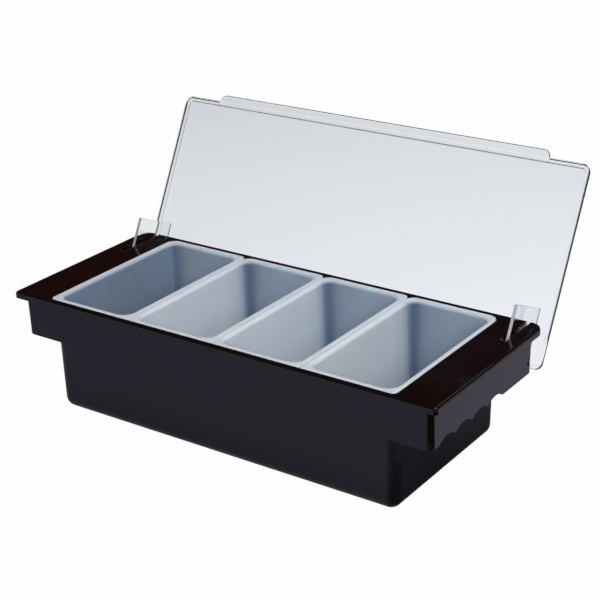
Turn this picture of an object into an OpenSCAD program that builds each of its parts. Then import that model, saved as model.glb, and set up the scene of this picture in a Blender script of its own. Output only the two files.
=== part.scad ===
// Countertop condiment caddy: one moulded housing, four lift-out inserts and a clear hinged lid.
// X runs along the caddy, Y towards the hinge at the back, Z up; the origin is under the middle of the base.

/* [Housing] */
// Length of the housing over its flange
housing_l = 360; // [345:5:400]
// Width of the housing over its flange
housing_w = 150.8; // [145:0.2:165]
// Height of the flange's top above the table
housing_h = 89.2; // [84:0.2:105]
// Wall thickness of the moulding
wall_t = 2.5; // [1.8:0.1:3]
// Thickness of the flange's top
plate_t = 3; // [2.6:0.1:4]
// Height of the lip that is turned down around the flange
lip_h = 5.2; // [4.6:0.2:10]
// Overhang of the lip beyond the end skirts
lip_end = 5.9; // [5:0.1:8]
// Overhang of the lip beyond the front and back walls
lip_side = 4.9; // [4.5:0.1:5.5]
// Rounding of the flange's top edge
edge_r = 1.5; // [1:0.1:2.2]
// Corner radius of the flange at the front, seen from above
front_r = 3; // [2.5:0.5:8]
// Corner radius of the flange at the back, seen from above
back_r = 9.2; // [5:0.1:10]
// Drop from the flange's top to the bottom edge of the end skirts
skirt_drop = 34.8; // [30:0.2:38]
// Distance from the flange's end to the end wall of the lower tub
tub_in = 32.9; // [32:0.1:35]
// Rounding of the tub's upright corners and bottom edges
tub_r = 8.5; // [6:0.5:12]
// Draft of the front and back walls in degrees
side_draft = 1.4; // [0.5:0.1:2]
// Draft of the end walls in degrees
end_draft = 0.4; // [0.2:0.1:1]

/* [Finger scallops] */
// Number of scallops in the bottom edge of each end skirt
scallop_count = 4; // [1:1:4]
// Spacing of the scallops
scallop_pitch = 21.8; // [16:0.1:24]
// Depth of a scallop
scallop_h = 4; // [2:0.5:6]
// Middle of the row of scallops, measured from the middle of the caddy
scallop_mid = -16.9; // [-20:0.1:0]

/* [Inserts] */
// Number of inserts
insert_count = 4; // [4:1:4]
// Width of each end ledge, from the flange's end to the rims
end_ledge = 32.3; // [31.5:0.1:36]
// Width of the flange left in front of and behind the rims
side_margin = 4; // [3.5:0.1:5]
// Thickness of a rim
rim_t = 1.8; // [1.6:0.1:2.2]
// Height of the rims above the flange
rim_proud = 0.3; // [0.1:0.1:1]
// Gap between neighbouring rims and around the row
rim_gap = 0.4; // [0.2:0.1:0.8]
// Overhang of a rim beyond its cup at the sides
rim_side = 2.8; // [2.6:0.1:5.5]
// Overhang of a rim beyond its cup at the front and back
rim_end = 3; // [2.8:0.1:5]
// Front corner radius of the rims at the two ends of the row
rim_front_r = 3.5; // [2:0.5:5]
// Front corner radius of a rim where it meets its neighbour
rim_meet_r = 1.5; // [1:0.5:3]
// Back corner radius of the rims, left of each insert and at the right end of the row
rim_back_r = 8; // [4:0.5:9]
// Back right corner radius of a rim that meets its neighbour
rim_notch_r = 4; // [3:0.5:8]
// Depth of a cup below the flange's top
cup_h = 77; // [60:0.5:79]
// Wall thickness of a cup
cup_t = 1.8; // [1.4:0.1:2.2]
// Draft of a cup in degrees
cup_draft = 3; // [1:0.5:4]
// Upright corner radius of a cup at its mouth
cup_r = 10; // [8:0.5:16]
// Rounding around the floor of a cup
cup_floor_r = 8; // [5:0.5:10]

/* [Lid] */
// Distance of the lid's ends inside the flange's ends
lid_end = 0.7; // [0.2:0.1:2]
// Distance of the closed lid's front wall behind the flange's front edge
lid_front = 5.4; // [4.5:0.1:6.5]
// Overhang of the closed lid behind the flange
lid_back = 2.5; // [1.5:0.1:3.5]
// Thickness of the lid's panel
lid_t = 1.8; // [1.4:0.1:2.2]
// Thickness of the lid's side walls
lid_wall = 2.6; // [1.8:0.1:3]
// Gap under the closed lid's walls, above the rims
lid_gap = 0.3; // [0.2:0.1:0.6]
// Corner radius of the lid, seen from above
lid_r = 5.5; // [4:0.5:8]
// Distance from the lid's ends to the ends of its grip tab
tab_end = 32.8; // [20:0.2:80]
// Reach of the grip tab beyond the lid's front wall
tab_reach = 6.4; // [5.2:0.2:9]
// Corner radius of the grip tab
tab_r = 5; // [2:0.2:5]

/* [Hinge] */
// Distance of the pivot in front of the flange's back edge
pivot_in = 11.7; // [11:0.1:13]
// Distance of the pivot below the flange's top
pivot_drop = 13.9; // [13:0.1:15]
// Radius of a hinge pin
pin_r = 2; // [1.5:0.1:2.5]
// Radial running clearance of an arm on its pin
pin_clear = 0.05; // [0.02:0.01:0.1]
// Thickness of a hinge arm
arm_t = 2.4; // [2:0.1:3]
// Distance of an arm's middle from the flange's end
arm_end = 13.3; // [12.9:0.1:14]
// Distance from the lid's hinge edge to the front of an arm
arm_front = 40.5; // [36:0.5:46]
// Forward lean of an arm's front edge, from its foot up to the lid
arm_lean = 2.4; // [0:0.2:3]
// Reach of an arm below the closed lid's walls
arm_drop = 36.7; // [32:0.1:37]
// Radius of the round end of an arm and of the bosses
boss_r = 6.5; // [5:0.1:7]
// Width of a hinge slot
slot_w = 5; // [4.5:0.1:5.6]
// Clearance around the swinging arm in its slot
slot_gap = 0.8; // [0.6:0.1:2]
// Thickness of the boss on the inner side of a slot
boss_t = 4.8; // [3:0.1:6]
// Clearance between the lid and the housing while it swings and at its stop
swing_gap = 0.3; // [0.2:0.05:0.6]

/* [Hidden] */

smooth = 32;       // facets of the rounded hulls
cup_smooth = 24;   // facets of a cup's rounded hulls
round_fn = 96;     // facets of true arcs
skin = 0.01;       // thickness of the slices that a hull spans
over = 1;          // reach of a cut beyond the surface it opens
root = 0.8;        // reach of a boss into the wall that carries it
floor_gap = 6;     // room kept under a cup
well_gap = 0.5;    // gap between the end cups and the well at its mouth
step = 0.8;        // step between the tub and the wall above it, inside an end ledge
pin_stub = 0.6;    // length of a pin that shows on the inner side of its boss

lip_z = housing_h - lip_h;
skirt_z = housing_h - skirt_drop;
plate_z = housing_h - plate_t;
row_l = housing_l - 2 * end_ledge;
row_w = housing_w - 2 * side_margin;
insert_pitch = (row_l - rim_gap) / insert_count;
rim_l = insert_pitch - rim_gap;
rim_w = row_w - 2 * rim_gap;
cup_top_z = housing_h + rim_proud - rim_t;
seat_z = cup_top_z - swing_gap;
cup_z = max(housing_h - cup_h, wall_t + floor_gap);
cup_l = rim_l - 2 * rim_side;
cup_w = rim_w - 2 * rim_end;
well_l = (insert_count - 1) * insert_pitch + cup_l + 2 * well_gap;

pivot_y = housing_w / 2 - pivot_in;
pivot_z = housing_h - pivot_drop;
lid_l = housing_l - 2 * lid_end;
lid_w = housing_w - lid_front + lid_back;
lid_y = housing_w / 2 + lid_back;
lid_z = housing_h + rim_proud + lid_gap;
tab_l = lid_l - 2 * tab_end;
lip_reach = norm([pivot_in - edge_r, pivot_drop - edge_r]) + edge_r;
scoop_r = lip_reach + swing_gap;
panel_z = pivot_z + scoop_r;
edge_reach = norm([lid_y - pivot_y, lid_z - pivot_z]);
stop_y = wall_y(pivot_z - edge_reach) + swing_gap;
open_angle = atan2(lid_z - pivot_z, lid_y - pivot_y) + acos((stop_y - pivot_y) / edge_reach);

arm_x = housing_l / 2 - arm_end;
arm_y = lid_y - arm_front;
arm_z = lid_z - arm_drop;
arm_reach = norm([pivot_y - arm_y, pivot_z - arm_z]);
slot_y = pivot_y - sqrt(pow(arm_reach, 2) - pow(plate_z - pivot_z, 2)) - slot_gap;
heel_reach = norm([boss_r, scoop_r]);
slot_z = pivot_z - heel_reach * sin(open_angle - atan2(scoop_r, boss_r)) - slot_gap;

hollow_in = tub_x(skirt_z) + step;
hollow_out = end_x(skirt_z) - wall_t;
hollow_w = 2 * (wall_y(skirt_z) - wall_t);
boss_x = arm_x - slot_w / 2 - boss_t;
pin_in = boss_x - pin_stub;
pin_out = hollow_out + wall_t / 2;

// Half width of the front and back walls at a height
function wall_y(z) = housing_w / 2 - lip_side - (lip_z - z) * tan(side_draft);
// Reach of the end skirts' outer face at a height
function end_x(z) = housing_l / 2 - lip_end - (lip_z - z) * tan(end_draft);
// Reach of the tub's end walls at a height
function tub_x(z) = housing_l / 2 - tub_in - (skirt_z - z) * tan(end_draft);

// Flat plate with one radius for each corner: front left, front right, back right, back left
module plate(l, w, h, radii) {
    xs = [-1, 1, 1, -1];
    ys = [-1, -1, 1, 1];
    linear_extrude(h)
    difference() {
        square([l, w], center = true);
        for (i = [0:3])
            translate([xs[i] * l / 2, ys[i] * w / 2])
            difference() {
                square(2 * radii[i], center = true);
                translate([-xs[i] * radii[i], -ys[i] * radii[i]])
                circle(radii[i], $fn = round_fn);
            }
    }
}

// Slice of a rounded block, thin enough to be spanned by a hull
module slice(l, w, z, r) {
    translate([0, 0, z])
    linear_extrude(skin)
    for (x = [-1, 1], y = [-1, 1])
        translate([x * (l / 2 - r), y * (w / 2 - r)])
        circle(r, $fn = smooth);
}

// Four balls that round the bottom of a block
module bottom_balls(l, w, z, r) {
    for (x = [-1, 1], y = [-1, 1])
        translate([x * (l / 2 - r), y * (w / 2 - r), z + r])
        sphere(r, $fn = smooth);
}

// Flange slice, with its wider radius at the back corners
module flange_slice(inset, z) {
    translate([0, 0, z])
    linear_extrude(skin)
    for (x = [-1, 1]) {
        translate([x * (housing_l / 2 - front_r), front_r - housing_w / 2])
        circle(front_r - inset, $fn = smooth);
        translate([x * (housing_l / 2 - back_r), housing_w / 2 - back_r])
        circle(back_r - inset, $fn = smooth);
    }
}

// Flange with a rounded top edge and its lip turned down
module flange() {
    steps = 4;
    difference() {
        hull() {
            flange_slice(0, lip_z);
            for (i = [0:steps]) {
                a = 90 * i / steps;
                flange_slice(edge_r * (1 - cos(a)), housing_h - skin - edge_r * (1 - sin(a)));
            }
        }
        translate([0, 0, lip_z - over])
        plate(housing_l - 2 * wall_t, housing_w - 2 * wall_t, plate_z - lip_z + over,
            [front_r / 2, front_r / 2, back_r - wall_t, back_r - wall_t]);
    }
}

// Solid envelope of the skirts, up into the flange
module skirt_block() {
    top = plate_z + plate_t / 2;
    hull() {
        slice(2 * end_x(skirt_z), 2 * wall_y(skirt_z), skirt_z, front_r);
        slice(2 * end_x(top), 2 * wall_y(top), top, front_r);
    }
}

// Solid envelope of the lower tub
module tub_block() {
    hull() {
        bottom_balls(2 * tub_x(tub_r), 2 * wall_y(tub_r), 0, tub_r);
        slice(2 * tub_x(skirt_z), 2 * wall_y(skirt_z), skirt_z - skin, tub_r);
    }
}

// Well that takes the four cups
module well() {
    r = tub_r - wall_t;
    hull() {
        bottom_balls(2 * (tub_x(tub_r) - wall_t), 2 * (wall_y(tub_r) - wall_t), wall_t, r);
        slice(well_l, cup_w + 2 * well_gap, housing_h + over, r);
    }
}

// Recess that the rims sit in
module rim_recess() {
    translate([0, 0, seat_z])
    plate(row_l, row_w, housing_h - seat_z + over, [rim_front_r, rim_front_r, rim_back_r, rim_back_r]);
}

// Hollow under an end ledge, open at the bottom
module end_hollow() {
    translate([hollow_in, -hollow_w / 2, skirt_z - over])
    cube([hollow_out - hollow_in, hollow_w, plate_z - skirt_z + over]);
}

// Scallops in the bottom edge of an end skirt, for the fingertips
module scallops() {
    r = (pow(scallop_pitch / 2, 2) + pow(scallop_h, 2)) / (2 * scallop_h);
    for (i = [0:scallop_count - 1])
        translate([hollow_out - over, scallop_mid + (i - (scallop_count - 1) / 2) * scallop_pitch,
            skirt_z + scallop_h - r])
        rotate([0, 90, 0])
        cylinder(h = lip_end + wall_t + 2 * over, r = r, $fn = round_fn);
}

// Slot that an arm swings in, open at the back
module hinge_slot() {
    back = housing_w / 2 + over;
    translate([arm_x, slot_y + slot_w / 2, skirt_z])
    cylinder(h = housing_h - skirt_z + over, r = slot_w / 2, $fn = round_fn);
    translate([arm_x - slot_w / 2, slot_y + slot_w / 2, plate_z - over])
    cube([slot_w, back - slot_y - slot_w / 2, plate_t + 2 * over]);
    translate([arm_x - slot_w / 2, hollow_w / 2 - over, slot_z])
    cube([slot_w, back - hollow_w / 2 + over, housing_h - slot_z + over]);
}

// Boss that holds a hinge pin, hung from the flange and joined to the back wall
module pin_boss(x, t) {
    translate([x, pivot_y, pivot_z])
    rotate([0, 90, 0])
    cylinder(h = t, r = boss_r, $fn = round_fn);
    translate([x, pivot_y - boss_r, pivot_z])
    cube([t, hollow_w / 2 - pivot_y + boss_r + root, plate_z - pivot_z + root]);
}

// Bosses on both sides of a slot
module hinge_bosses() {
    pin_boss(boss_x, boss_t);
    pin_boss(arm_x + slot_w / 2, hollow_out + root - arm_x - slot_w / 2);
}

// Blind bore for a hinge pin
module pin_bore(r) {
    translate([pin_in, pivot_y, pivot_z])
    rotate([0, 90, 0])
    cylinder(h = pin_out - pin_in, r = r, $fn = round_fn);
}

module both_ends() {
    children();
    mirror([1, 0, 0])
    children();
}

module housing() {
    color([0.07, 0.07, 0.08])
    difference() {
        union() {
            difference() {
                union() {
                    flange();
                    skirt_block();
                    tub_block();
                }
                well();
                rim_recess();
                both_ends() {
                    end_hollow();
                    scallops();
                }
            }
            both_ends()
            hinge_bosses();
        }
        both_ends() {
            hinge_slot();
            pin_bore(pin_r);
        }
    }
}

module hinge_pin(side) {
    color([0.75, 0.76, 0.78])
    mirror([side < 0 ? 1 : 0, 0, 0])
    pin_bore(pin_r);
}

// Body of a cup, shrunk inwards by an inset
module cup_form(inset, top) {
    bottom_z = cup_z + inset;
    narrow = (cup_top_z - cup_z) * tan(cup_draft);
    r = cup_floor_r - inset;
    hull() {
        for (x = [-1, 1], y = [-1, 1]) {
            translate([x * (cup_l / 2 - narrow - inset - r), y * (cup_w / 2 - narrow - inset - r), bottom_z + r])
            sphere(r, $fn = cup_smooth);
            translate([x * (cup_l / 2 - cup_r), y * (cup_w / 2 - cup_r), top])
            cylinder(h = skin, r = cup_r - inset, $fn = cup_smooth);
        }
    }
}

// Lift-out insert: a tapered cup hung by its rim
module insert(i) {
    left = i == 1 ? rim_front_r : rim_meet_r;
    right = i == insert_count ? rim_front_r : rim_meet_r;
    notch = i == insert_count ? rim_back_r : rim_notch_r;
    color([0.74, 0.79, 0.86])
    translate([(i - (insert_count + 1) / 2) * insert_pitch, 0, 0])
    difference() {
        union() {
            translate([0, 0, cup_top_z])
            plate(rim_l, rim_w, rim_t, [left, right, notch, rim_back_r]);
            cup_form(0, cup_top_z);
        }
        cup_form(cup_t, housing_h + rim_proud + over);
    }
}

// Turns what is drawn closed into the open rest position
module opened() {
    translate([0, pivot_y, pivot_z])
    rotate([-open_angle, 0, 0])
    translate([0, -pivot_y, -pivot_z])
    children();
}

// Lid seen from above, without its tab
module lid_outline(inset) {
    l = lid_l - 2 * inset;
    w = lid_w - 2 * inset;
    r = lid_r - inset;
    translate([0, lid_y - lid_w / 2])
    difference() {
        square([l, w], center = true);
        for (x = [-1, 1], y = [-1, 1])
            translate([x * l / 2, y * w / 2])
            difference() {
                square(2 * r, center = true);
                translate([-x * r, -y * r])
                circle(r, $fn = round_fn);
            }
    }
}

// Grip tab, level with the panel
module tab_outline() {
    front = lid_y - lid_w;
    translate([-tab_l / 2, front - tab_reach + tab_r])
    square([tab_l, tab_reach - tab_r + lid_t]);
    translate([tab_r - tab_l / 2, front - tab_reach])
    square([tab_l - 2 * tab_r, tab_reach + lid_t]);
    for (x = [-1, 1])
        translate([x * (tab_l / 2 - tab_r), front - tab_reach + tab_r])
        circle(tab_r, $fn = round_fn);
}

// Clear lid: a shallow tray whose side walls are scooped out around the pivot
module lid_panel() {
    color([0.85, 0.88, 0.92, 0.4])
    opened()
    union() {
        translate([0, 0, panel_z])
        linear_extrude(lid_t)
        union() {
            lid_outline(0);
            tab_outline();
        }
        difference() {
            translate([0, 0, lid_z])
            linear_extrude(panel_z + lid_t / 2 - lid_z)
            difference() {
                lid_outline(0);
                lid_outline(lid_wall);
            }
            translate([-housing_l, pivot_y, pivot_z])
            rotate([0, 90, 0])
            cylinder(h = 2 * housing_l, r = scoop_r, $fn = round_fn);
        }
    }
}

// Arm in its own plane, with the pin's bore at the pivot
module arm_outline() {
    difference() {
        union() {
            polygon([[arm_y, arm_z], [pivot_y, arm_z], [pivot_y, panel_z], [arm_y - arm_lean, panel_z]]);
            translate([pivot_y, pivot_z])
            square([boss_r, panel_z - pivot_z]);
            translate([pivot_y, pivot_z])
            circle(boss_r, $fn = round_fn);
        }
        translate([pivot_y, pivot_z])
        circle(pin_r + pin_clear, $fn = round_fn);
    }
}

module hinge_arm(side) {
    color([0.88, 0.9, 0.95, 0.5])
    opened()
    translate([side * arm_x - arm_t / 2, 0, 0])
    rotate([90, 0, 90])
    linear_extrude(arm_t)
    arm_outline();
}

housing();
hinge_pin(-1);  // hinge_pin_left
hinge_pin(1);  // hinge_pin_right
insert(1);  // insert_1
insert(2);  // insert_2
insert(3);  // insert_3
insert(4);  // insert_4
lid_panel();
hinge_arm(-1);  // hinge_arm_left
hinge_arm(1);  // hinge_arm_right
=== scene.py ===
import math

import bmesh
import bpy
from mathutils import Matrix, Vector


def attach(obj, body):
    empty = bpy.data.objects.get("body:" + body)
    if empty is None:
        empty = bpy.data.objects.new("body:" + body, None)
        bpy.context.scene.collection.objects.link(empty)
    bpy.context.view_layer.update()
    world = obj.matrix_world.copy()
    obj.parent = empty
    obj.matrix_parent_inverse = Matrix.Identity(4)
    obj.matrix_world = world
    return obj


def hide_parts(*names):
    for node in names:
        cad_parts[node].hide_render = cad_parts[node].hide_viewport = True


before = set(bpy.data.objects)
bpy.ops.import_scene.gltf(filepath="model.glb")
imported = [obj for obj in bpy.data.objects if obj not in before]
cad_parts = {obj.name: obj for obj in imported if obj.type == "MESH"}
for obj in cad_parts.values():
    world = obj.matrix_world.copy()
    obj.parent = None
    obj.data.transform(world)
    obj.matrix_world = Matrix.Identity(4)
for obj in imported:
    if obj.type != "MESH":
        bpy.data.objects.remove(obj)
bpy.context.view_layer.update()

# lengths are written in millimetres and angles in degrees
millimetre = 0.001
quarterTurn = math.pi / 2
sides = {-1: "left", 1: "right"}


def linear(code):
    channels = [int(code[i:i + 2], 16) / 255 for i in (1, 3, 5)]
    return [c / 12.92 if c <= 0.04045 else ((c + 0.055) / 1.055) ** 2.4 for c in channels] + [1.0]


def addNode(tree, kind, inputs=None, stops=(), **settings):
    # an input gets a value, or a link when it is given another node's output; stops are the
    # places and colours along a colour ramp
    node = tree.nodes.new(kind)
    for key, value in settings.items():
        setattr(node, key, value)
    for i, (position, code) in enumerate(stops):
        node.color_ramp.elements[i].position = position
        node.color_ramp.elements[i].color = linear(code)
    for socket, value in (inputs or {}).items():
        if isinstance(value, bpy.types.NodeSocket):
            tree.links.new(value, node.inputs[socket])
        else:
            node.inputs[socket].default_value = value
    return node


def newMaterial(name):
    material = bpy.data.materials.new(name)
    material.use_nodes = True
    material.node_tree.nodes.clear()
    return material, material.node_tree


def perMetre(size):
    # how often a pattern of this many millimetres repeats in a metre
    return 1 / (size * millimetre)


def arc(middle, radius, start, end, steps):
    angles = [start + (end - start) * i / steps for i in range(steps + 1)]
    return [(middle[0] + radius * math.cos(a), middle[1] + radius * math.sin(a)) for a in angles]


def circle(middle, radius, steps):
    return arc(middle, radius, 0.0, 4 * quarterTurn, steps)[:-1]


def roundedLoop(left, right, front, back, radii, arcSteps=8, cuts=None):
    # a rectangle with one radius per corner: front left, front right, back right, back left
    corners = ((left, front, 1, 1, math.pi), (right, front, -1, 1, 3 * quarterTurn),
               (right, back, -1, -1, 0.0), (left, back, 1, -1, quarterTurn))
    arcs = [arc((x + inX * radius, y + inY * radius), radius, start, start + quarterTurn, arcSteps)
            for (x, y, inX, inY, start), radius in zip(corners, radii)]
    points = []
    for k, turn in enumerate(arcs):
        points += turn
        (x0, y0), (x1, y1) = turn[-1], arcs[(k + 1) % 4][0]
        points += [(x0 + (x1 - x0) * t, y0 + (y1 - y0) * t) for t in (cuts or {}).get(k, ())]
    return points


def quarterRound(radius, steps=8):
    # from a flat to a wall: how far in from the wall, and how far from the flat
    angles = [quarterTurn * i / steps for i in range(steps + 1)]
    return [(radius * (1 - math.sin(a)), radius * (1 - math.cos(a))) for a in angles]


def topRound(radius, top, steps=6):
    # from a wall to the flat above it, as insets and heights
    return [(inset, top - drop) for inset, drop in reversed(quarterRound(radius, steps))]


def softEdge(edge, z):
    # a small rounding from an underside up to a wall, as insets and heights
    return [(edge, z), (0.3 * edge, z + 0.3 * edge), (0.0, z + edge)]


def meshObject(name, mesh):
    bmesh.ops.remove_doubles(mesh, verts=mesh.verts, dist=1e-7)
    bmesh.ops.recalc_face_normals(mesh, faces=mesh.faces)
    data = bpy.data.meshes.new(name)
    mesh.to_mesh(data)
    mesh.free()
    obj = bpy.data.objects.new(name, data)
    bpy.context.scene.collection.objects.link(obj)
    return obj


def skin(name, rings, weights=None):
    # closed skin over rings with the same number of points, with a flat cap at both ends
    mesh = bmesh.new()
    # weights, where given, hold painted shade for each point
    layer = mesh.verts.layers.float.new("paintedShade") if weights else None
    loops = [[mesh.verts.new(Vector(point) * millimetre) for point in ring] for ring in rings]
    for loop, values in zip(loops, weights or []):
        for vert, value in zip(loop, values):
            vert[layer] = value
    count = len(loops[0])
    for lower, upper in zip(loops, loops[1:]):
        for i in range(count):
            j = (i + 1) % count
            mesh.faces.new((lower[i], lower[j], upper[j], upper[i]))
    mesh.faces.new(list(reversed(loops[0])))
    mesh.faces.new(loops[-1])
    return meshObject(name, mesh)


def block(name, low, high):
    corners = ((low[0], low[1]), (high[0], low[1]), (high[0], high[1]), (low[0], high[1]))
    return skin(name, [[(x, y, z) for x, y in corners] for z in (low[2], high[2])])


def evaluatedMesh(obj):
    return bpy.data.meshes.new_from_object(obj.evaluated_get(bpy.context.evaluated_depsgraph_get()))


def cut(obj, tool, operation="DIFFERENCE"):
    step = obj.modifiers.new("cut", "BOOLEAN")
    step.operation = operation
    step.solver = "EXACT"
    step.object = tool
    old, obj.data = obj.data, evaluatedMesh(obj)
    obj.modifiers.clear()
    bpy.data.meshes.remove(old)
    bpy.data.objects.remove(tool)


def softShade(obj, angle=32.0):
    # smooth over the fillets, crisp where faces meet at more than the angle, flats kept flat
    obj.data.shade_smooth()
    obj.data.set_sharp_from_angle(angle=math.radians(angle))
    weighted = obj.modifiers.new("flatsStayFlat", "WEIGHTED_NORMAL")
    weighted.mode = "FACE_AREA"
    weighted.keep_sharp = True
    weighted.weight = 60


def finishPiece(obj, node, body, material):
    obj.data.materials.clear()
    obj.data.materials.append(material)
    softShade(obj)
    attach(obj, body)
    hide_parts(node)
    return obj


# camera: a long lens a little above the counter, turned towards the right end
camera = {
    "focal": 91.06,
    "sensor": 36.0,
    "azimuth": 34.99,
    "elevation": 22.97,
    "roll": -1.25,
    "target": (26.12, 0.0, 100.92),
    "distance": 1069.84,
    "clip": (50.0, 30000.0),
}


def makeCamera():
    azimuth = math.radians(camera["azimuth"])
    elevation = math.radians(camera["elevation"])
    back = Vector((math.sin(azimuth) * math.cos(elevation),
                   -math.cos(azimuth) * math.cos(elevation),
                   math.sin(elevation)))
    right = Vector((math.cos(azimuth), math.sin(azimuth), 0.0))
    turn = Matrix.Rotation(math.radians(camera["roll"]), 3, back)
    axes = Matrix((turn @ right, turn @ back.cross(right), back)).transposed()
    place = (Vector(camera["target"]) + back * camera["distance"]) * millimetre
    data = bpy.data.cameras.new("productCamera")
    data.lens = camera["focal"]
    data.sensor_width = camera["sensor"]
    data.clip_start, data.clip_end = [distance * millimetre for distance in camera["clip"]]
    obj = bpy.data.objects.new("productCamera", data)
    bpy.context.scene.collection.objects.link(obj)
    obj.matrix_world = Matrix.Translation(place) @ axes.to_4x4()
    bpy.context.scene.camera = obj


makeCamera()
bpy.context.scene.view_settings.view_transform = "Standard"
print("camera set")


# ABS, injection moulded against a polished steel tool: deep black, glossy, a faint orange peel
# and the dull film that hands and cloths leave
blackAbs = {
    "colours": ((0.0, "#070607"), (1.0, "#0C0808")),
    "patch": 111.0,          # across a patch of one colour
    "roughness": (0.05, 0.13),    # bare, and under the film
    "film": 35.7,            # across a patch of the film
    "filmRange": (0.35, 0.75),
    "ior": 1.5,
    "peel": 3.85,            # between the ripples
    "peelDepth": 0.6,
    "grain": 0.714,          # drawn coarser than the tool's own grain so that it shows
    "grainDepth": 0.2,
    "edge": 0.5,
}


def makeBlackAbs():
    material, tree = newMaterial("blackMouldedAbs")
    place = addNode(tree, "ShaderNodeTexCoord").outputs["Object"]
    film = addNode(tree, "ShaderNodeTexNoise",
                   {"Vector": place, "Scale": perMetre(blackAbs["film"]), "Detail": 6.0, "Roughness": 0.6})
    (start, end), (bare, filmed) = blackAbs["filmRange"], blackAbs["roughness"]
    rough = addNode(tree, "ShaderNodeMapRange",
                    {"Value": film.outputs["Fac"], "From Min": start, "From Max": end,
                     "To Min": bare, "To Max": filmed})
    peel = addNode(tree, "ShaderNodeTexNoise",
                   {"Vector": place, "Scale": perMetre(blackAbs["peel"]), "Detail": 2.0})
    grain = addNode(tree, "ShaderNodeTexNoise",
                    {"Vector": place, "Scale": perMetre(blackAbs["grain"]), "Detail": 1.0})
    worn = addNode(tree, "ShaderNodeBevel", {"Radius": blackAbs["edge"] * millimetre}, samples=6)
    ripple = addNode(tree, "ShaderNodeBump",
                     {"Height": peel.outputs["Fac"], "Normal": worn.outputs["Normal"],
                      "Strength": 0.05, "Distance": blackAbs["peelDepth"] * millimetre})
    fine = addNode(tree, "ShaderNodeBump",
                   {"Height": grain.outputs["Fac"], "Normal": ripple.outputs["Normal"],
                    "Strength": 0.04, "Distance": blackAbs["grainDepth"] * millimetre})
    patch = addNode(tree, "ShaderNodeTexNoise",
                    {"Vector": place, "Scale": perMetre(blackAbs["patch"]), "Detail": 3.0})
    shade = addNode(tree, "ShaderNodeValToRGB", {"Fac": patch.outputs["Fac"]}, blackAbs["colours"])
    plastic = addNode(tree, "ShaderNodeBsdfPrincipled",
                      {"Base Color": shade.outputs["Color"], "Roughness": rough.outputs["Result"],
                       "IOR": blackAbs["ior"], "Normal": fine.outputs["Normal"]})
    addNode(tree, "ShaderNodeOutputMaterial", {"Surface": plastic.outputs["BSDF"]})
    return material


# polypropylene, injection moulded and unpigmented but for a little blue: milky, so light goes a few
# millimetres through a wall, with a satin skin
milkyPp = {
    "open": ((0.3, "#CED9E8"), (0.7, "#D5DFEC")),
    # painted shade: the darker, bluer colour for walls with black plastic behind them
    "paintedShade": ((0.3, "#61748A"), (0.7, "#697D94")),
    "cloud": 45.5,           # across one of the faint clouds in the plastic
    "roughness": (0.29, 0.46),    # bare, and where it is scuffed
    "scuff": 16.7,           # across a scuffed patch
    "scuffRange": (0.3, 0.8),
    "ior": 1.49,
    "depth": 6.0,            # how far light runs inside the wall
    "peel": 1.11,            # between the ripples of the skin
    "peelDepth": 0.2,
}


def makeMilkyPp():
    material, tree = newMaterial("milkyPolypropylene")
    place = addNode(tree, "ShaderNodeTexCoord").outputs["Object"]
    cloud = addNode(tree, "ShaderNodeTexNoise",
                    {"Vector": place, "Scale": perMetre(milkyPp["cloud"]), "Detail": 4.0})
    light, dark = [addNode(tree, "ShaderNodeValToRGB", {"Fac": cloud.outputs["Fac"]}, milkyPp[name])
                   for name in ("open", "paintedShade")]
    # painted shade: the colour goes towards a darker, bluer one by a weight stored on the wall, standing in
    # for light lost through the wall into the black plastic behind it
    paintedShade = addNode(tree, "ShaderNodeAttribute", attribute_name="paintedShade").outputs["Fac"]
    colour = addNode(tree, "ShaderNodeMix",
                     {"Factor": paintedShade, 6: light.outputs["Color"], 7: dark.outputs["Color"]},
                     data_type="RGBA")
    scuff = addNode(tree, "ShaderNodeTexNoise",
                    {"Vector": place, "Scale": perMetre(milkyPp["scuff"]), "Detail": 5.0, "Distortion": 0.4})
    (start, end), (bare, scuffed) = milkyPp["scuffRange"], milkyPp["roughness"]
    rough = addNode(tree, "ShaderNodeMapRange",
                    {"Value": scuff.outputs["Fac"], "From Min": start, "From Max": end,
                     "To Min": bare, "To Max": scuffed})
    peel = addNode(tree, "ShaderNodeTexNoise",
                   {"Vector": place, "Scale": perMetre(milkyPp["peel"]), "Detail": 2.0})
    bump = addNode(tree, "ShaderNodeBump",
                   {"Height": peel.outputs["Fac"], "Strength": 0.06,
                    "Distance": milkyPp["peelDepth"] * millimetre})
    plastic = addNode(tree, "ShaderNodeBsdfPrincipled",
                      {"Base Color": colour.outputs[2], "Roughness": rough.outputs["Result"],
                       "IOR": milkyPp["ior"], "Normal": bump.outputs["Normal"], "Subsurface Weight": 1.0,
                       "Subsurface Radius": (1.0, 1.0, 1.0),
                       "Subsurface Scale": milkyPp["depth"] * millimetre})
    addNode(tree, "ShaderNodeOutputMaterial", {"Surface": plastic.outputs["BSDF"]})
    return material


# clear styrene acrylonitrile, injection moulded and polished: a faint cool tint, fine wiping marks
clearSan = {
    "lidTint": "#F3F7FC",
    "armTint": "#F3F4F8",
    "roughness": (0.02, 0.09),    # polished, and where it was wiped
    "ior": 1.57,
    "wipeLength": 23.8,
    "wipeWidth": 1.19,
    "wipeRange": (0.45, 0.85),
    "wave": 33.3,            # the moulding's slight unevenness
    "waveDepth": 0.5,
    "sawn": "#EFEEF5",
    "sawnRoughness": 0.5,
    "sawnClear": 0.6,
    "toothMark": 1.43,       # drawn coarser than a saw's own marks so that it shows
    "toothDepth": 0.2,
}


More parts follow.
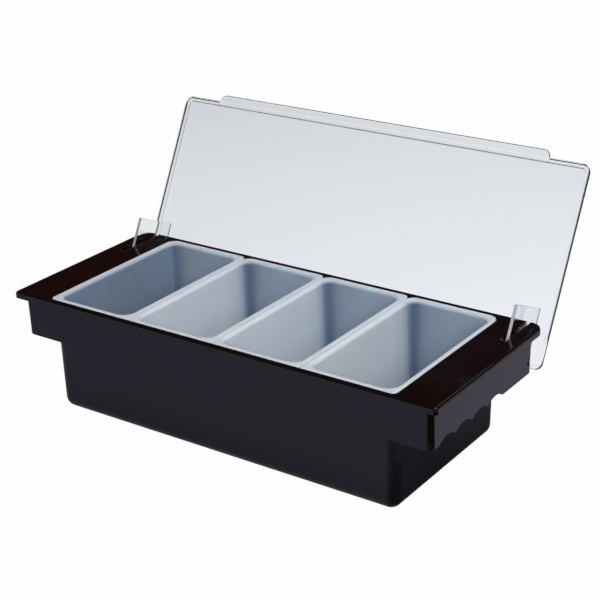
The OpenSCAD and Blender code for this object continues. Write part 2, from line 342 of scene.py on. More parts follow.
def makeClearSan(name, tint, sawnEdges=False):
    material, tree = newMaterial(name)
    place = addNode(tree, "ShaderNodeTexCoord").outputs["Object"]
    along, over = perMetre(clearSan["wipeLength"]), perMetre(clearSan["wipeWidth"])
    stretched = addNode(tree, "ShaderNodeMapping", {"Vector": place, "Scale": (along, over, over)})
    wiped = addNode(tree, "ShaderNodeTexNoise",
                    {"Vector": stretched.outputs["Vector"], "Scale": 1.0, "Detail": 6.0, "Roughness": 0.7})
    (start, end), (polished, dulled) = clearSan["wipeRange"], clearSan["roughness"]
    rough = addNode(tree, "ShaderNodeMapRange",
                    {"Value": wiped.outputs["Fac"], "From Min": start, "From Max": end,
                     "To Min": polished, "To Max": dulled})
    wave = addNode(tree, "ShaderNodeTexNoise",
                   {"Vector": place, "Scale": perMetre(clearSan["wave"]), "Detail": 1.0})
    bump = addNode(tree, "ShaderNodeBump",
                   {"Height": wave.outputs["Fac"], "Strength": 0.03,
                    "Distance": clearSan["waveDepth"] * millimetre})
    plastic = addNode(tree, "ShaderNodeBsdfPrincipled",
                      {"Base Color": linear(tint), "Roughness": rough.outputs["Result"],
                       "IOR": clearSan["ior"], "Normal": bump.outputs["Normal"], "Transmission Weight": 1.0})
    surface = plastic.outputs["BSDF"]
    if sawnEdges:
        # the narrow faces round a flat arm are left dull by the tool, so they catch the light
        facing = addNode(tree, "ShaderNodeNewGeometry").outputs["True Normal"]
        sideways = addNode(tree, "ShaderNodeSeparateXYZ", {"Vector": facing}).outputs["X"]
        flat = addNode(tree, "ShaderNodeMath", {0: sideways}, operation="ABSOLUTE").outputs[0]
        edge = addNode(tree, "ShaderNodeMath", {0: flat, 1: 0.5}, operation="LESS_THAN").outputs[0]
        teeth = addNode(tree, "ShaderNodeTexNoise",
                        {"Vector": place, "Scale": perMetre(clearSan["toothMark"]), "Detail": 3.0})
        marks = addNode(tree, "ShaderNodeBump",
                        {"Height": teeth.outputs["Fac"], "Strength": 0.2,
                         "Distance": clearSan["toothDepth"] * millimetre})
        sawn = addNode(tree, "ShaderNodeBsdfPrincipled",
                       {"Base Color": linear(clearSan["sawn"]), "Roughness": clearSan["sawnRoughness"],
                        "IOR": clearSan["ior"], "Normal": marks.outputs["Normal"],
                        "Transmission Weight": clearSan["sawnClear"]})
        mixed = addNode(tree, "ShaderNodeMixShader", {0: edge, 1: surface, 2: sawn.outputs["BSDF"]})
        surface = mixed.outputs["Shader"]
    addNode(tree, "ShaderNodeOutputMaterial", {"Surface": surface})
    return material


# stainless steel, drawn: fine lines along the pin
drawnSteel = {
    "colour": "#B9BBBE",
    "roughness": (0.22, 0.42),
    "lineLength": 6.25,
    "lineWidth": 0.139,
    "lineDepth": 0.1,
}


def makeDrawnSteel():
    material, tree = newMaterial("drawnStainlessPin")
    place = addNode(tree, "ShaderNodeTexCoord").outputs["Object"]
    along, over = perMetre(drawnSteel["lineLength"]), perMetre(drawnSteel["lineWidth"])
    stretched = addNode(tree, "ShaderNodeMapping", {"Vector": place, "Scale": (along, over, over)})
    lines = addNode(tree, "ShaderNodeTexNoise",
                    {"Vector": stretched.outputs["Vector"], "Scale": 1.0, "Detail": 3.0})
    low, high = drawnSteel["roughness"]
    rough = addNode(tree, "ShaderNodeMapRange",
                    {"Value": lines.outputs["Fac"], "To Min": low, "To Max": high})
    bump = addNode(tree, "ShaderNodeBump",
                   {"Height": lines.outputs["Fac"], "Strength": 0.1,
                    "Distance": drawnSteel["lineDepth"] * millimetre})
    steel = addNode(tree, "ShaderNodeBsdfPrincipled",
                    {"Base Color": linear(drawnSteel["colour"]), "Metallic": 1.0,
                     "Roughness": rough.outputs["Result"], "Normal": bump.outputs["Normal"]})
    addNode(tree, "ShaderNodeOutputMaterial", {"Surface": steel.outputs["BSDF"]})
    return material


blackMaterial = makeBlackAbs()
milkyMaterial = makeMilkyPp()
lidMaterial = makeClearSan("clearSanLid", clearSan["lidTint"])
armMaterial = makeClearSan("clearSanArm", clearSan["armTint"], sawnEdges=True)
steelMaterial = makeDrawnSteel()
print("materials ready")


# housing: one moulding, with a flange, a lip under its edge, end skirts and a tub
housing = {
    "length": 360.0,
    "width": 150.8,
    "height": 89.2,
    "wall": 2.5,
    "plate": 3.0,            # the flange's thickness
    "lip": 5.2,              # its turned-down lip's height
    "lipEnd": 5.9,           # from the lip's outside to the skirt, at the ends
    "lipSide": 4.9,          # and at the front and back
    "lipDraft": 0.2,
    "lipEdge": 0.4,
    "topEdge": 2.2,
    "backEdge": 0.25,        # the back edge is rounded inwards by this share of the others
    "frontCorner": 3.0,
    "backCorner": 9.2,
    "skirtCorner": 4.5,
    "skirtBottom": 54.4,
    "skirtEdge": 0.5,
    "skirtRoot": (0.6, 0.5, 0.6),    # the swell under the flange, along, across and down
    "tubIn": 32.9,           # from the flange's end to the tub, at the skirt's bottom
    "tubRadius": 8.5,
    "tubFoot": 0.05,         # the flat bottom's height
    "leastRadius": 0.05,     # of a corner that a fillet closes up
    "seam": 0.02,            # keeps the tub's top ring off the skirt's bottom ring
    "sideDraft": 1.4,
    "endDraft": 0.4,
    "recessX": 147.7,
    "recessY": 71.4,
    "recessZ": 87.4,
    "recessFront": 3.5,
    "recessBack": 8.0,
    "recessEdge": 0.25,
    "wellX": 145.0,
    "wellY": 68.5,
    "wellCorner": 6.0,
    "wellEdge": 0.3,
    "hollowIn": 0.8,         # from the tub's outside to the hollow of the end skirt
    "hollowCorner": 0.8,
    "scallops": 4,
    "scallopPitch": 21.8,
    "scallopDepth": 4.0,
    "scallopMiddle": -16.9,
    "past": 4.0,             # how far the cutting tools reach past what they cut
}
lipZ = housing["height"] - housing["lip"]
plateZ = housing["height"] - housing["plate"]
skirtZ = housing["skirtBottom"]
sideDraft = math.tan(math.radians(housing["sideDraft"]))
endDraft = math.tan(math.radians(housing["endDraft"]))


def wallY(z):
    return housing["width"] / 2 - housing["lipSide"] - (lipZ - z) * sideDraft


def skirtX(z):
    return housing["length"] / 2 - housing["lipEnd"] - (lipZ - z) * endDraft


def tubX(z):
    return housing["length"] / 2 - housing["tubIn"] - (skirtZ - z) * endDraft


hollowOut = skirtX(skirtZ) - housing["wall"]
hollowY = wallY(skirtZ) - housing["wall"]


def makeHousingShell():
    # one skin: up the tub and skirts, round the lip, over the flange and down into the well
    top, wall, radius = housing["height"], housing["wall"], housing["tubRadius"]
    halfX, halfY = housing["length"] / 2, housing["width"] / 2
    rings = []

    def ring(x, y, z, radii, back=None):
        loop = roundedLoop(-x, x, -y, y if back is None else back, radii, 10)
        rings.append([(px, py, z) for px, py in loop])

    def tubRing(inset, z, roundness):
        ring(tubX(radius) - inset, wallY(radius) - inset, z, [max(roundness, housing["leastRadius"])] * 4)

    def flangeRing(inset, z, behind=1.0):
        radii = [housing["frontCorner"] - inset] * 2 + [housing["backCorner"] - inset] * 2
        ring(halfX - inset, halfY - inset, z, radii, halfY - inset * behind)

    for inset, rise in quarterRound(radius):
        tubRing(inset, max(rise, housing["tubFoot"]), radius - inset)
    ring(tubX(skirtZ), wallY(skirtZ) - housing["seam"], skirtZ, [radius] * 4)

    skirtCorners = [housing["skirtCorner"]] * 4
    for inset, z in softEdge(housing["skirtEdge"], skirtZ):
        ring(skirtX(skirtZ) - inset, wallY(z), z, skirtCorners)
    along, across, down = housing["skirtRoot"]
    ring(skirtX(plateZ - down), wallY(plateZ - down), plateZ - down, skirtCorners)
    ring(skirtX(plateZ) + along, wallY(plateZ) + across, plateZ, skirtCorners)

    flangeRing(wall + housing["lipDraft"], plateZ)
    flangeRing(wall, lipZ + housing["lipEdge"])
    flangeRing(wall - housing["lipEdge"], lipZ)
    for inset, z in softEdge(housing["lipEdge"], lipZ):
        flangeRing(inset, z)
    for inset, z in topRound(housing["topEdge"], top):
        flangeRing(inset, z, housing["backEdge"])

    # the recess for the rims, its shelf and the well
    for outset, drop in softEdge(housing["recessEdge"], 0.0) + [(0.0, top - housing["recessZ"])]:
        radii = [housing["recessFront"] + outset] * 2 + [housing["recessBack"] + outset] * 2
        ring(housing["recessX"] + outset, housing["recessY"] + outset, top - drop, radii)
    for outset in (housing["wellEdge"], 0.0):
        ring(housing["wellX"] + outset, housing["wellY"] + outset,
             housing["recessZ"] - housing["wellEdge"] + outset, [housing["wellCorner"]] * 4)
    inner = radius - wall
    for inset, rise in reversed(quarterRound(inner)):
        tubRing(wall + inset, wall + rise, inner - inset)
    return skin("housingShell", rings)


def scallopTool(side):
    # the fingertips' row of shallow arcs, along the skirt's bottom edge
    count, pitch, depth = housing["scallops"], housing["scallopPitch"], housing["scallopDepth"]
    radius = ((pitch / 2) ** 2 + depth ** 2) / (2 * depth)
    half = math.asin(pitch / 2 / radius)
    start = housing["scallopMiddle"] - count * pitch / 2
    past = housing["past"]
    outline = [(start, skirtZ - past)]
    for k in range(count):
        middle = (start + pitch * (k + 0.5), skirtZ + depth - radius)
        turn = arc(middle, radius, quarterTurn + half, quarterTurn - half, 16)
        outline += turn[1:] if k else turn
    outline.append((start + count * pitch, skirtZ - past))
    ends = (skirtX(skirtZ) - past, skirtX(skirtZ) + past)
    return skin("scallops", [[(side * x, y, z) for y, z in outline] for x in ends])


# hinge: arms cemented to the lid, turning on pins in the ledges
hinge = {
    "pivotY": 63.7,
    "pivotZ": 75.3,
    "open": 117.2427,
    "armX": 166.7,
    "armThick": 2.4,
    "armFront": 37.4,
    "armBottom": 53.1,
    "armLean": 2.4,
    "armBevel": 0.2,
    "cement": 0.03,          # between an arm and the lid
    "boss": 6.5,
    "bossThick": 4.8,
    "bossRoot": 0.8,         # how far a boss runs into the walls beside it
    "pin": 2.0,
    "pinEnds": (158.9, 172.6),
    "pinChamfer": 0.3,
    "boreEnds": (158.8, 172.64),
    "boreGap": 0.01,
    "clear": 0.05,           # round the pin in the arm's hole
    "slot": 5.0,
    "slotFront": 30.33,
    "slotBottom": 60.55,
    "slotBelow": 0.1,        # how far the slot's tool reaches below the lip
    "slotEdge": 0.3,
    "past": 1.0,             # how far the slot's tools reach past what they cut
}


def bossTools(side):
    y, z, radius = hinge["pivotY"], hinge["pivotZ"], hinge["boss"]
    root = hinge["bossRoot"]
    inner, outer = hinge["armX"] - hinge["slot"] / 2, hinge["armX"] + hinge["slot"] / 2
    outline = [(y - radius, plateZ + root)] + arc((y, z), radius, math.pi, 3 * quarterTurn, 16)
    outline += [(hollowY + root, z - radius), (hollowY + root, plateZ + root)]
    return [skin("boss", [[(side * x, py, pz) for py, pz in outline] for x in span])
            for span in ((inner - hinge["bossThick"], inner), (outer, hollowOut + root))]


def slotTools(side):
    x, half, past, edge = side * hinge["armX"], hinge["slot"] / 2, hinge["past"], hinge["slotEdge"]
    top, back = housing["height"], housing["width"] / 2 + 2 * past

    def mouth(extra, z):
        wide = half + extra
        tip = arc((x, hinge["slotFront"] + half), wide, math.pi, 2 * math.pi, 24)
        return [(px, py, z) for px, py in tip + [(x + wide, back), (x - wide, back)]]

    levels = [(0.0, lipZ - hinge["slotBelow"])] + topRound(edge, top) + [(edge, top + past)]
    plate = skin("slot", [mouth(extra, z) for extra, z in levels])
    wall = block("slotWall", (x - half, hollowY - past, hinge["slotBottom"]), (x + half, back, top + past))
    outline = circle((hinge["pivotY"], hinge["pivotZ"]), hinge["pin"] + hinge["boreGap"], 64)
    bore = skin("bore", [[(side * end, y, z) for y, z in outline] for end in hinge["boreEnds"]])
    return plate, wall, bore


def makeHousing():
    body = makeHousingShell()
    print("housing skin", len(body.data.polygons), "faces")
    inner = tubX(skirtZ) + housing["hollowIn"]
    for side in sides:
        left, right = sorted((side * inner, side * hollowOut))
        loop = roundedLoop(left, right, -hollowY, hollowY, [housing["hollowCorner"]] * 4, 5)
        cut(body, skin("hollow", [[(x, y, z) for x, y in loop] for z in (skirtZ - housing["past"], plateZ)]))
        cut(body, scallopTool(side))
    for side in sides:
        for boss in bossTools(side):
            cut(body, boss, "UNION")
        for tool in slotTools(side):
            cut(body, tool)
    finishPiece(body, "housing", "housing_body", blackMaterial)
    print("housing", len(body.data.polygons), "faces")


def makePin(side, name):
    (near, far), chamfer = hinge["pinEnds"], hinge["pinChamfer"]
    pivot = (hinge["pivotY"], hinge["pivotZ"])
    rings = []
    for x, less in ((near, chamfer), (near + chamfer, 0.0), (far - chamfer, 0.0), (far, chamfer)):
        rings.append([(side * x, y, z) for y, z in circle(pivot, hinge["pin"] - less, 40)])
    piece = skin("hingePin_" + name, rings)
    finishPiece(piece, "hinge_pin_" + name, "housing_body", steelMaterial)


makeHousing()
for side, name in sides.items():
    makePin(side, name)
print("pins ready")


# inserts: tapered cups hung by a flat rim
insert = {
    "count": 4,
    "pitch": 73.75,
    "rimX": 36.675,
    "rimY": 71.0,
    "rimTop": 89.5,
    "rimThick": 1.8,
    "rimUnder": 0.3,         # the rim's lower edge
    "endRadius": 3.5,
    "meetRadius": 1.5,
    "backRadius": 8.0,
    "notchRadius": 4.0,
    "rimEdge": 0.8,
    "cupX": 33.875,
    "cupY": 68.0,
    "cupRadius": 10.0,
    "cupBottom": 12.2,
    "floorRadius": 8.0,
    "leastRadius": 0.1,
    "narrow": 3.957,         # how much the cup narrows on each side down to its floor
    "neck": 0.8,             # the swell from the cup's outside into the rim
    "wall": 1.8,
    "mouthEdge": 2.8,
    # painted shade on each wall, standing in for the black housing seen through it, with a painted dark band
    # in the back left corner
    "sidePaintedShade": 0.86,
    "backPaintedShade": 0.6,
    "floorPaintedShade": 0.8,
    "cornerPaintedShade": [0.5, 0.7, 0.85, 0.95, 1.0, 1.0, 0.97, 0.92, 0.86, 0.8],
    "besideCorner": [0.2, 0.05, 0.0, 0.0, 0.0],
    "behindCorner": [0.66, 0.74],
    "wallCuts": (0.06, 0.18, 0.5, 0.82, 0.94),    # where the weights change along a wall
}


def paintedShadeWeights(number):
    # painted shade weights: 1 where the black housing lies close behind a wall, 0 where the next insert does;
    # the list runs on round the cup, from the front left corner
    back, side, corner = insert["backPaintedShade"], insert["sidePaintedShade"], insert["cornerPaintedShade"]
    cuts, steps = len(insert["wallCuts"]), len(corner)
    fade = [back * i / steps for i in range(1, steps + 1)]
    frontLeft, right, backLeft = fade, fade, corner
    leftWall, rightWall = insert["besideCorner"], [0.0] * cuts
    if number == 1:
        frontLeft, backLeft, leftWall = [side] * 4 + fade[4:], [side] * 4 + corner[4:], [side] * cuts
    if number == insert["count"]:
        right, rightWall = [side] * 2 + fade[2:], [side] * cuts
    backWall = [back] * (cuts - 2) + insert["behindCorner"]
    rightSide = right[::-1] + rightWall + right
    return frontLeft + [back] * cuts + rightSide + backWall + backLeft[::-1] + leftWall


def makeInsert(number):
    middle = (number - (insert["count"] + 1) / 2) * insert["pitch"]
    rimLow = insert["rimTop"] - insert["rimThick"]
    around = paintedShadeWeights(number)
    cuts = {side: insert["wallCuts"] for side in range(4)}
    rings = []
    weights = []

    def ring(halfX, halfY, z, radii, inside=0.0, floor=0.0):
        loop = roundedLoop(-halfX, halfX, -halfY, halfY, radii, len(insert["cornerPaintedShade"]) - 1, cuts)
        rings.append([(middle + x, y, z) for x, y in loop])
        # painted shade: inside walls take the weights round the cup, the floor a share of its own
        weights.append([value * inside * (1 - floor) + insert["floorPaintedShade"] * floor for value in around])

    def cupRing(inset, z, inside=0.0, floor=0.0):
        along = (z - insert["cupBottom"]) / (rimLow - insert["cupBottom"])
        further = inset + insert["narrow"] * (1 - along)
        radius = insert["floorRadius"] + (insert["cupRadius"] - insert["floorRadius"]) * along - inset
        ring(insert["cupX"] - further, insert["cupY"] - further, z,
             [max(radius, insert["leastRadius"])] * 4, inside, floor)

    def rimRing(inset, z):
        first, last = number == 1, number == insert["count"]
        radii = [insert["endRadius" if first else "meetRadius"],
                 insert["endRadius" if last else "meetRadius"],
                 insert["backRadius" if last else "notchRadius"], insert["backRadius"]]
        ring(insert["rimX"] - inset, insert["rimY"] - inset, z, [radius - inset for radius in radii])

    for inset, rise in quarterRound(insert["floorRadius"]):
        cupRing(inset, insert["cupBottom"] + rise)
    for outset, drop in reversed(softEdge(insert["neck"], 0.0)):
        cupRing(-outset, rimLow - drop)
    under, over = insert["rimUnder"], topRound(insert["rimEdge"], insert["rimTop"], 5)
    for inset, z in [(under, rimLow), (0.0, rimLow + under)] + over:
        rimRing(inset, z)
    mouth = quarterRound(insert["mouthEdge"], 7)
    for i, (outset, drop) in enumerate(mouth):
        cupRing(insert["wall"] - outset, insert["rimTop"] - drop, i / (len(mouth) - 1))
    bowl = quarterRound(insert["floorRadius"] - insert["wall"])[::-1]
    for i, (inset, rise) in enumerate(bowl):
        cupRing(insert["wall"] + inset, insert["cupBottom"] + insert["wall"] + rise, 1.0, i / (len(bowl) - 1))
    name = "insert_%d" % number
    piece = skin("foodInsert_%d" % number, rings, weights)
    finishPiece(piece, name, name + "_body", milkyMaterial)


for number in range(1, insert["count"] + 1):
    makeInsert(number)
print("inserts ready")


# lid: a shallow clear tray with a grip tab, drawn closed and turned open
lid = {
    "halfX": 179.3,
    "front": -70.0,
    "back": 77.9,
    "frontDraft": 0.7,       # how far the front wall's outside leans out at the rim
    "rimZ": 89.8,
    "innerZ": 93.13,
    "outerZ": 94.93,
    "wall": 2.6,
    "corner": 5.5,
    "cornerSteps": 8,
    "innerFillet": 1.0,
    "outerEdge": 1.3,
    "lowEdge": 0.4,
    "tabX": 146.5,
    "tabReach": 6.38,
    "tabCorner": 5.0,
    "tabRoot": [(1.3, 0.0), (0.5, 0.2), (0.1, 0.75)],    # the tab's small inner corner, beside it and out
    "scoop": 17.83,          # the round cut from the side walls over the pins
    "sideSteps": 70,         # points along a side wall, which draw that cut
    "seam": 0.01,            # keeps the wall's top ring off the tab's first ring
}


def opened(point):
    turn = Matrix.Rotation(math.radians(-hinge["open"]), 3, "X")
    pivot = Vector((0.0, hinge["pivotY"], hinge["pivotZ"]))
    return turn @ (Vector(point) - pivot) + pivot


def tabOutline():
    # places along the front edge, and how far the tab reaches out there
    edge, reach, corner = lid["tabX"], lid["tabReach"], lid["tabCorner"]
    half = [(-edge - beside, out) for beside, out in lid["tabRoot"]]
    half += arc((corner - edge, reach - corner), corner, math.pi, quarterTurn, 8)
    return half + [(-x, out) for x, out in reversed(half)]


def lidRing(inset, z, tab=False):
    rimZ, innerZ = lid["rimZ"], lid["innerZ"]
    outside = inset < lid["wall"] / 2
    lean = lid["frontDraft"] * max(innerZ - z, 0.0) / (innerZ - rimZ) if outside else 0.0
    right, front, back = lid["halfX"] - inset, lid["front"] + inset - lean, lid["back"] - inset
    steps, cuts = lid["cornerSteps"], [i / lid["sideSteps"] for i in range(1, lid["sideSteps"])]
    loop = roundedLoop(-right, right, front, back, [lid["corner"] - inset] * 4, steps, {1: cuts, 3: cuts})
    # the front side carries the tab's outline, folded flat where the ring has no tab
    narrowed = 1 - inset / lid["tabX"]
    edge = [(x * narrowed if tab and out else x, front - out if tab else front) for x, out in tabOutline()]
    points = loop[:steps + 1] + edge + loop[steps + 1:]

    def scooped(y):
        return hinge["pivotZ"] + math.sqrt(max(lid["scoop"] ** 2 - (y - hinge["pivotY"]) ** 2, 0.0))

    return [opened((x, y, max(z, scooped(y)) if z < innerZ else z)) for x, y in points]


def makeLid():
    wall, rim = lid["wall"], softEdge(lid["lowEdge"], lid["rimZ"])
    ceiling = quarterRound(lid["innerFillet"], 5)
    rings = [lidRing(wall + inset, lid["innerZ"] - drop) for inset, drop in ceiling]
    rings += [lidRing(wall - inset, z) for inset, z in reversed(rim)]
    rings += [lidRing(inset, z) for inset, z in rim + [(0.0, lid["innerZ"] - lid["seam"])]]
    rings.append(lidRing(0.0, lid["innerZ"], tab=True))
    rings += [lidRing(inset, z, tab=True) for inset, z in topRound(lid["outerEdge"], lid["outerZ"])]
    piece = finishPiece(skin("clearLid", rings), "lid_panel", "lid_body", lidMaterial)
    piece.visible_shadow = False    # clear plastic lets the light through to the food


def armOutlines():
    y, z, radius = hinge["pivotY"], hinge["pivotZ"], hinge["boss"]
    front, bottom, top = hinge["armFront"], hinge["armBottom"], lid["innerZ"] - hinge["cement"]
    outline = [(front - hinge["armLean"], top), (front, bottom), (y, bottom)]
    outline += arc((y, z), radius, -quarterTurn, 0.0, 16) + [(y + radius, top)]
    return outline, circle((y, z), hinge["pin"] + hinge["clear"], 48)


def makeArm(side, name):
    bevel = hinge["armBevel"]
    curve = bpy.data.curves.new("armOutline", "CURVE")
    curve.dimensions = "2D"
    curve.fill_mode = "BOTH"
    curve.extrude = (hinge["armThick"] / 2 - bevel) * millimetre
    curve.bevel_depth = bevel * millimetre
    curve.bevel_resolution = 2
    curve.offset = -bevel * millimetre
    for loop in armOutlines():
        spline = curve.splines.new("POLY")
        spline.points.add(len(loop) - 1)
        for point, (y, z) in zip(spline.points, loop):
            point.co = (y * millimetre, z * millimetre, 0.0, 1.0)
        spline.use_cyclic_u = True
    carrier = bpy.data.objects.new("armOutline", curve)
    bpy.context.scene.collection.objects.link(carrier)
    bpy.context.view_layer.update()
    data = evaluatedMesh(carrier)
    bpy.data.objects.remove(carrier)
    # the outline is drawn flat, then stood up at its place and turned open with the lid
    for vertex in data.vertices:
        y, z, across = vertex.co / millimetre
        vertex.co = opened((side * hinge["armX"] + across, y, z)) * millimetre
    mesh = bmesh.new()
    mesh.from_mesh(data)
    piece = meshObject("hingeArm_" + name, mesh)
    finishPiece(piece, "hinge_arm_" + name, "lid_body", armMaterial)


makeLid()
for side, name in sides.items():
    makeArm(side, name)
print("lid and arms ready")


# studio: pale paper on the floor, lit by soft boxes, with the room behind them dark, and with painted
# reflections and a painted glow on the paper that only shiny and clear plastic find;
# a ramp names what it runs along, where it starts and ends, and its value at both ends
paper = {
    "half": 6000.0,
    "thick": 30.0,
    "gap": 0.05,             # keeps it clear of the tub's bottom
    "colours": ((0.0, "#B4B0C2"), (1.0, "#B9B5C7")),
    "mottle": 333.0,         # across a patch of one colour
    "seen": 0.985,           # how far it shows as plain white, the rest is its shading
    "places": {"corner": (160, -70, 0), "middle": (0, 0, 0), "lampSide": (200, 200, 0)},
    # painted reflections, found only by shiny plastic: a bluer tint in front of the object, a painted black
    # card off the front right corner and a painted shade strip under the right end
    "paintedFrontTint": "#ADA8C2",
    "paintedCardColour": "#070707",
    "paintedTintRamps": [("y", (-100, 50), (1.0, 0.0))],
    "paintedCardRamps": [("x", (140, 170), (0.0, 0.97)), ("y", (-20, 10), (1.0, 0.0)),
                  ("corner", (90, 115), (0.6, 1.0))],
    "paintedShadeStripRamps": [("x", (130, 150), (0.0, 0.79)), ("x", (203, 213), (1.0, 0.0)),
                   ("y", (-170, -70), (0.4, 1.0)), ("y", (-20, 120), (1.0, 0.82))],
    # painted glow, found only through clear plastic: a bright lane that runs away from the viewer in place of
    # a sweep, and the floor near the object, both fading away from the lamp's side
    "glowLaneTurn": 35.0,
    "glowLaneWidens": 0.2,
    "paintedLaneRamps": [("aside", (300, 400), (1.0, 0.24))],
    "paintedNearGlowRamps": [("middle", (700, 900), (0.9, 0.0))],
    "fade": ((150, 1000), (1.0, 0.74)),    # an even one
}


def spread(tree, share, sources, ramps, unit=millimetre):
    # a share multiplied by smooth ramps, whose starts and ends are in millimetres if no unit is given
    for name, (start, end), (atStart, atEnd) in ramps:
        ramp = addNode(tree, "ShaderNodeMapRange",
                       {"Value": sources[name], "From Min": start * unit, "From Max": end * unit,
                        "To Min": atStart, "To Max": atEnd}, interpolation_type="SMOOTHSTEP")
        times = addNode(tree, "ShaderNodeMath", {0: share, 1: ramp.outputs["Result"]}, operation="MULTIPLY")
        share = times.outputs[0]
    return share


def paperWithPaintedReflections(tree, sources, shiny):
    # the paper's colour, with painted reflections that only shiny plastic finds laid over it
    mottle = addNode(tree, "ShaderNodeTexNoise",
                     {"Vector": sources["place"], "Scale": perMetre(paper["mottle"]), "Detail": 3.0})
    shade = addNode(tree, "ShaderNodeValToRGB", {"Fac": mottle.outputs["Fac"]}, paper["colours"])
    # painted black card and painted shade strip, dark only in reflections
    paintedCard = spread(tree, shiny, sources, paper["paintedCardRamps"])
    paintedStrip = spread(tree, shiny, sources, paper["paintedShadeStripRamps"])
    dark = addNode(tree, "ShaderNodeMath", {0: paintedCard, 1: paintedStrip}, operation="MAXIMUM").outputs[0]
    front = spread(tree, shiny, sources, paper["paintedTintRamps"])
    colour = shade.outputs["Color"]
    for share, code in ((front, paper["paintedFrontTint"]), (dark, paper["paintedCardColour"])):
        over = addNode(tree, "ShaderNodeMix", {"Factor": share, 6: colour, 7: linear(code)}, data_type="RGBA")
        colour = over.outputs[2]
    return colour


def paintedClearGlow(tree, sources):
    # painted glow: a bright lane, turned to run away from the viewer, and the floor near the object
    turn = (0.0, 0.0, -math.radians(paper["glowLaneTurn"]))
    turned = addNode(tree, "ShaderNodeMapping", {"Vector": sources["place"], "Rotation": turn})
    folded = addNode(tree, "ShaderNodeVectorMath", {0: turned.outputs["Vector"]}, operation="ABSOLUTE")
    aside = addNode(tree, "ShaderNodeVectorMath",
                    {0: folded.outputs["Vector"], 1: (1.0, -paper["glowLaneWidens"], 0.0)},
                    operation="DOT_PRODUCT")
    sources["aside"] = aside.outputs["Value"]
    (start, end), (atStart, atEnd) = paper["fade"]
    fade = addNode(tree, "ShaderNodeMapRange",
                   {"Value": sources["lampSide"], "From Min": start * millimetre,
                    "From Max": end * millimetre, "To Min": atStart, "To Max": atEnd}).outputs["Result"]
    paintedGlow = spread(tree, fade, sources, paper["paintedLaneRamps"])
    near = spread(tree, fade, sources, paper["paintedNearGlowRamps"])
    return addNode(tree, "ShaderNodeMath", {0: paintedGlow, 1: near}, operation="MAXIMUM").outputs[0]


def makePaper():
    half = paper["half"]
    floor = block("studioFloor", (-half, -half, -paper["thick"]), (half, half, -paper["gap"]))
    material, tree = newMaterial("paleFloor")
    paths = addNode(tree, "ShaderNodeLightPath")
    viewed = paths.outputs["Is Camera Ray"]
    place = addNode(tree, "ShaderNodeTexCoord").outputs["Object"]
    spot = addNode(tree, "ShaderNodeSeparateXYZ", {"Vector": place})
    sources = {"place": place, "x": spot.outputs["X"], "y": spot.outputs["Y"]}
    for name, point in paper["places"].items():
        away = addNode(tree, "ShaderNodeVectorMath", {0: place, 1: Vector(point) * millimetre},
                       operation="DISTANCE")
        sources[name] = away.outputs["Value"]
    colour = paperWithPaintedReflections(tree, sources, paths.outputs["Is Glossy Ray"])
    matte = addNode(tree, "ShaderNodeBsdfDiffuse", {"Color": colour})
    paintedGlow = paintedClearGlow(tree, sources)
    # painted glow for rays through clear plastic; camera rays see plain white
    strength = addNode(tree, "ShaderNodeMath", {0: viewed, 1: paintedGlow}, operation="MAXIMUM").outputs[0]
    glow = addNode(tree, "ShaderNodeEmission", {"Color": linear("#FFFFFF"), "Strength": strength})
    white = addNode(tree, "ShaderNodeMath", {0: viewed, 1: paper["seen"]}, operation="MULTIPLY").outputs[0]
    share = addNode(tree, "ShaderNodeMath", {0: white, 1: paths.outputs["Is Transmission Ray"]},
                    operation="MAXIMUM").outputs[0]
    mixed = addNode(tree, "ShaderNodeMixShader",
                    {0: share, 1: matte.outputs["BSDF"], 2: glow.outputs["Emission"]})
    addNode(tree, "ShaderNodeOutputMaterial", {"Surface": mixed.outputs["Shader"]})
    floor.data.materials.append(material)


# room: its light, and what shiny and clear plastic finds in it
room = {
    "ambient": 0.22,
    "horizon": 0.9,          # how bright plastic finds it just above the floor
    "dark": 0.05,            # and higher up
    "rise": (0.14, 0.21),    # where one passes into the other, as a share of straight up
    "walls": "#FF9080",      # the tone of its dark part at the far side
    "farSide": (-0.574, 0.819, 0.0),
    "farRise": (0.2, 0.6),
}


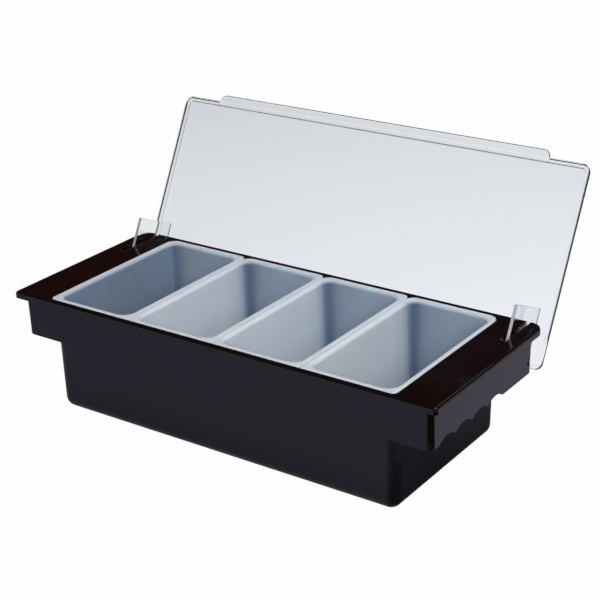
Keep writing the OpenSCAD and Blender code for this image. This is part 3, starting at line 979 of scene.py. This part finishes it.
def makeRoom():
    world = bpy.data.worlds.new("studioRoom")
    bpy.context.scene.world = world
    world.use_nodes = True
    tree = world.node_tree
    tree.nodes.clear()
    paths = addNode(tree, "ShaderNodeLightPath")
    viewed, shiny = paths.outputs["Is Camera Ray"], paths.outputs["Is Glossy Ray"]
    direction = addNode(tree, "ShaderNodeTexCoord").outputs["Generated"]
    height = addNode(tree, "ShaderNodeSeparateXYZ", {"Vector": direction}).outputs["Z"]
    far = addNode(tree, "ShaderNodeVectorMath", {0: direction, 1: room["farSide"]}, operation="DOT_PRODUCT")
    sources = {"height": height, "far": far.outputs["Value"]}
    sources["above"] = spread(tree, 1.0, sources, [("height", room["rise"], (0.0, 1.0))], 1.0)
    found = spread(tree, 1.0, sources, [("above", (0.0, 1.0), (room["horizon"], room["dark"]))], 1.0)
    plastic = addNode(tree, "ShaderNodeMath", {0: shiny, 1: paths.outputs["Is Transmission Ray"]},
                      operation="MAXIMUM").outputs[0]
    rest = addNode(tree, "ShaderNodeMapRange", {"Value": plastic, "To Min": room["ambient"], "To Max": found})
    strength = addNode(tree, "ShaderNodeMath", {0: viewed, 1: rest.outputs["Result"]}, operation="MAXIMUM")
    brown = spread(tree, shiny, sources, [("height", room["rise"], (0.0, 1.0)),
                                          ("far", room["farRise"], (0.0, 1.0))], 1.0)
    walls = addNode(tree, "ShaderNodeMix",
                    {"Factor": brown, 6: linear("#FFFFFF"), 7: linear(room["walls"])}, data_type="RGBA")
    background = addNode(tree, "ShaderNodeBackground",
                         {"Color": walls.outputs[2], "Strength": strength.outputs[0]})
    addNode(tree, "ShaderNodeOutputWorld", {"Surface": background.outputs["Background"]})


# soft boxes, with their power in watts
softBoxes = {
    "softBoxRight": {"place": (970, -980, 1050), "aim": (0, 0, 50), "size": (1000, 1000),
                     "power": 21.5, "mirrored": False},
    "softBoxTop": {"place": (480, 100, 1600), "aim": (0, 0, 50), "size": (1200, 1000),
                   "power": 8.5, "mirrored": True},
    "softBoxBack": {"place": (-160, 1510, 1330), "aim": (180, 0, 90), "size": (500, 400),
                    "power": 0.4, "mirrored": True},
}


def makeSoftBox(name, box):
    lamp = bpy.data.lights.new(name, "AREA")
    lamp.shape = "RECTANGLE"
    lamp.size, lamp.size_y = [length * millimetre for length in box["size"]]
    lamp.energy = box["power"]
    obj = bpy.data.objects.new(name, lamp)
    bpy.context.scene.collection.objects.link(obj)
    place, aim = Vector(box["place"]), Vector(box["aim"])
    obj.location = place * millimetre
    obj.rotation_euler = (aim - place).to_track_quat("-Z", "Y").to_euler()
    obj.visible_glossy = box["mirrored"]
    # kept out of clear plastic, where a lamp's picture breaks up into glints along the edges
    obj.visible_transmission = False


makePaper()
makeRoom()
for name, box in softBoxes.items():
    makeSoftBox(name, box)
print("studio lit")
